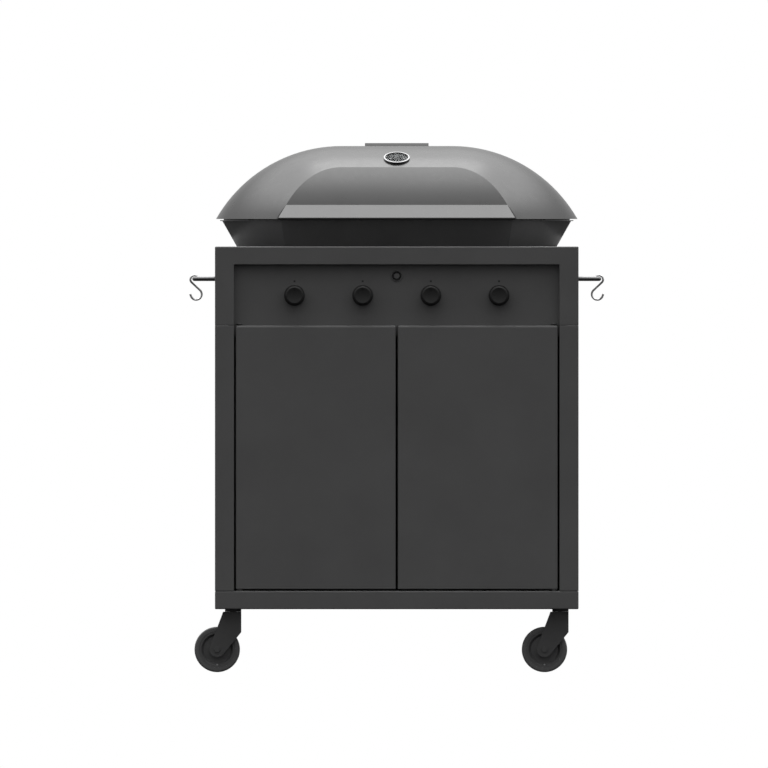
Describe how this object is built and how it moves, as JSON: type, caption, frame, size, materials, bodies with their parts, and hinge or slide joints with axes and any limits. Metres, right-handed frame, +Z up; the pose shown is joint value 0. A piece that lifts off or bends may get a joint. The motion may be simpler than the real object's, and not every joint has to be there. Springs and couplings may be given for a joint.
{
  "type": "flat top griddle",
  "caption": "Gas flat top griddle with a domed lid on a wheeled two-door cabinet, with a recessed control panel, side rails, hooks and a rear grease tray.",
  "frame": {"origin": "on the floor under the centre of the whole object", "axes": "+X to the right seen from the front, +Y to the back, +Z up"},
  "size_m": [0.9128, 0.592, 1.164],
  "materials": {
    "charcoal": "satin powder coat",
    "lid_paint": "satin metallic",
    "black_enamel": "satin enamel",
    "seasoned_steel": "oiled",
    "polished_steel": "polished",
    "plain_steel": "plain",
    "brass": "plain",
    "black_plastic": "fine grain",
    "ceramic": "glazed ceramic",
    "dial": "matt",
    "glass": "clear",
    "rubber": "matt",
    "caster_steel": "black coat",
    "caster_plastic": "moulded",
    "tyre": "moulded"
  },
  "bodies": {
    "root": {"base_tray": "charcoal", "side_panel_left": "charcoal", "side_panel_right": "charcoal", "back_panel": "charcoal", "head_housing": "charcoal", "head_rear_panel": "charcoal", "control_panel": "charcoal", "knob_bezels": "black_plastic", "gas_valves": "brass", "gas_manifold": "plain_steel", "burners": "plain_steel", "igniter_bezel": "charcoal", "spark_module": "black_plastic", "electrodes": "ceramic", "griddle_bowl": "black_enamel", "griddle_plate": "seasoned_steel", "tray_runners": "plain_steel", "hinge_brackets": "charcoal", "hinge_pins": "plain_steel", "door_pivots": "charcoal", "door_magnets": "black_plastic", "caster_stems": "caster_steel", "side_rail_left": "polished_steel", "side_rail_right": "polished_steel", "lid_bumpers": "rubber", "fasteners": "plain_steel"},
    "lid": {"lid_shell": "lid_paint", "lid_handle_lip": "lid_paint", "lid_vent_cap": "lid_paint", "thermometer_bezel": "polished_steel", "thermometer_dial": "dial", "thermometer_glass": "glass", "lid_hinge_leaves": "charcoal"},
    "needle": {"thermometer_needle": "black_plastic"},
    "door_left": {"door_left": "charcoal"},
    "door_right": {"door_right": "charcoal"},
    "stem_1": {"valve_stem_1": "brass"},
    "knob_1": {"knob_1": "black_plastic"},
    "stem_2": {"valve_stem_2": "brass"},
    "knob_2": {"knob_2": "black_plastic"},
    "stem_3": {"valve_stem_3": "brass"},
    "knob_3": {"knob_3": "black_plastic"},
    "stem_4": {"valve_stem_4": "brass"},
    "knob_4": {"knob_4": "black_plastic"},
    "igniter_button": {"igniter_button": "charcoal"},
    "grease_tray": {"grease_tray": "plain_steel"},
    "hook_left": {"hook_left": "polished_steel"},
    "hook_right": {"hook_right": "polished_steel"},
    "caster_1": {"caster_fork_1": "caster_steel"},
    "wheel_1": {"caster_wheel_1": "caster_plastic", "caster_tyre_1": "tyre"},
    "caster_2": {"caster_fork_2": "caster_steel"},
    "wheel_2": {"caster_wheel_2": "caster_plastic", "caster_tyre_2": "tyre"},
    "caster_3": {"caster_fork_3": "caster_steel"},
    "wheel_3": {"caster_wheel_3": "caster_plastic", "caster_tyre_3": "tyre"},
    "caster_4": {"caster_fork_4": "caster_steel"},
    "wheel_4": {"caster_wheel_4": "caster_plastic", "caster_tyre_4": "tyre"}
  },
  "joints": [
    {"name": "lid_hinge", "type": "hinge", "parent": "root", "child": "lid", "pos_m": [0, 0.284, 1.001], "axis": [-1, 0, 0], "range_deg": [0, 90]},
    {"name": "needle_turn", "type": "hinge", "parent": "lid", "child": "needle", "pos_m": [0, -0.12894, 1.13019], "axis": [0, -0.4067, 0.9135], "range_deg": [-60, 210], "stiffness_Nm_per_rad": 0.002},
    {"name": "door_left_hinge", "type": "hinge", "parent": "root", "child": "door_left", "pos_m": [-0.346, -0.272, 0.47], "axis": [0, 0, -1], "range_deg": [0, 100]},
    {"name": "door_right_hinge", "type": "hinge", "parent": "root", "child": "door_right", "pos_m": [0.346, -0.272, 0.47], "axis": [0, 0, 1], "range_deg": [0, 100]},
    {"name": "valve_1_turn", "type": "hinge", "parent": "root", "child": "stem_1", "pos_m": [-0.225, -0.265, 0.829], "axis": [0, -1, 0], "range_deg": [0, 180]},
    {"name": "knob_1_push", "type": "slide", "parent": "stem_1", "child": "knob_1", "axis": [0, 1, 0], "range_m": [0, 0.003], "stiffness_N_per_m": 1200},
    {"name": "valve_2_turn", "type": "hinge", "parent": "root", "child": "stem_2", "pos_m": [-0.075, -0.265, 0.829], "axis": [0, -1, 0], "range_deg": [0, 180]},
    {"name": "knob_2_push", "type": "slide", "parent": "stem_2", "child": "knob_2", "axis": [0, 1, 0], "range_m": [0, 0.003], "stiffness_N_per_m": 1200},
    {"name": "valve_3_turn", "type": "hinge", "parent": "root", "child": "stem_3", "pos_m": [0.075, -0.265, 0.829], "axis": [0, -1, 0], "range_deg": [0, 180]},
    {"name": "knob_3_push", "type": "slide", "parent": "stem_3", "child": "knob_3", "axis": [0, 1, 0], "range_m": [0, 0.003], "stiffness_N_per_m": 1200},
    {"name": "valve_4_turn", "type": "hinge", "parent": "root", "child": "stem_4", "pos_m": [0.225, -0.265, 0.829], "axis": [0, -1, 0], "range_deg": [0, 180]},
    {"name": "knob_4_push", "type": "slide", "parent": "stem_4", "child": "knob_4", "axis": [0, 1, 0], "range_m": [0, 0.003], "stiffness_N_per_m": 1200},
    {"name": "igniter_push", "type": "slide", "parent": "root", "child": "igniter_button", "axis": [0, 1, 0], "range_m": [0, 0.004], "stiffness_N_per_m": 800},
    {"name": "grease_tray_slide", "type": "slide", "parent": "root", "child": "grease_tray", "axis": [0, 1, 0], "range_m": [0, 0.165]},
    {"name": "hook_left_swing", "type": "hinge", "parent": "root", "child": "hook_left", "pos_m": [-0.445, -0.15, 0.8655], "axis": [0, 1, 0], "range_deg": [-35, 35]},
    {"name": "hook_right_swing", "type": "hinge", "parent": "root", "child": "hook_right", "pos_m": [0.445, -0.15, 0.8655], "axis": [0, 1, 0], "range_deg": [-35, 35]},
    {"name": "caster_1_swivel", "type": "hinge", "parent": "root", "child": "caster_1", "pos_m": [-0.36, -0.225, 0.13], "axis": [0, 0, 1], "continuous": true},
    {"name": "wheel_1_spin", "type": "hinge", "parent": "caster_1", "child": "wheel_1", "pos_m": [-0.395, -0.225, 0.05], "axis": [0, 1, 0], "continuous": true},
    {"name": "caster_2_swivel", "type": "hinge", "parent": "root", "child": "caster_2", "pos_m": [0.36, -0.225, 0.13], "axis": [0, 0, 1], "continuous": true},
    {"name": "wheel_2_spin", "type": "hinge", "parent": "caster_2", "child": "wheel_2", "pos_m": [0.325, -0.225, 0.05], "axis": [0, 1, 0], "continuous": true},
    {"name": "caster_3_swivel", "type": "hinge", "parent": "root", "child": "caster_3", "pos_m": [-0.36, 0.225, 0.13], "axis": [0, 0, 1], "continuous": true},
    {"name": "wheel_3_spin", "type": "hinge", "parent": "caster_3", "child": "wheel_3", "pos_m": [-0.395, 0.225, 0.05], "axis": [0, 1, 0], "continuous": true},
    {"name": "caster_4_swivel", "type": "hinge", "parent": "root", "child": "caster_4", "pos_m": [0.36, 0.225, 0.13], "axis": [0, 0, 1], "continuous": true},
    {"name": "wheel_4_spin", "type": "hinge", "parent": "caster_4", "child": "wheel_4", "pos_m": [0.325, 0.225, 0.05], "axis": [0, 1, 0], "continuous": true}
  ]
}
